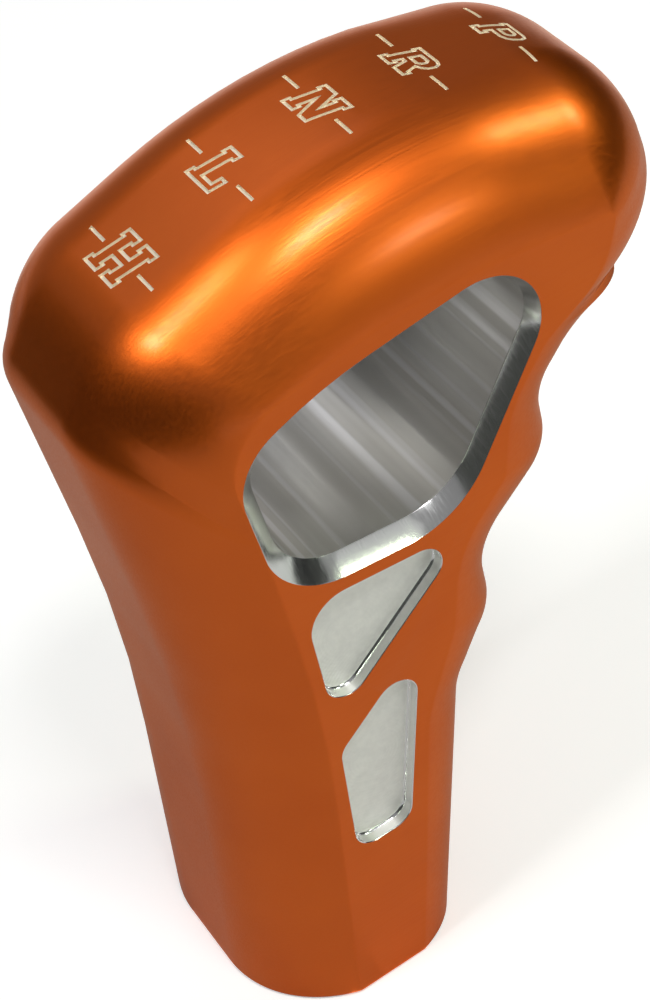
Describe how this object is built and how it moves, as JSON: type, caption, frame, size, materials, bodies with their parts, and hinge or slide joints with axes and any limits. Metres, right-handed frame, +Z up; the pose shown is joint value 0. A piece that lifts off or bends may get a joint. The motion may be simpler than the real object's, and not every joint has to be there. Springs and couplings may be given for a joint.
{
  "type": "gear shift knob",
  "caption": "Orange anodised aluminium shift handle with a domed palm head, through window, finger grooves, side pockets, engraved gear legend and a blind bore with set screws.",
  "frame": {"origin": "centre of the lever bore's mouth, on the flat base", "axes": "+X forward, the way the head leans; +Y to the left, across the thickness; +Z up along the bore"},
  "size_m": [0.0862, 0.045, 0.1316],
  "materials": {
    "anodised_billet": "satin orange anodising, with the window, its chamfer, the side pockets and the engraving left as bare cut metal",
    "screw_steel": "black oxide"
  },
  "bodies": {
    "root": {"handle_body": "anodised_billet", "lower_set_screw": "screw_steel", "upper_set_screw": "screw_steel"}
  },
  "joints": []
}
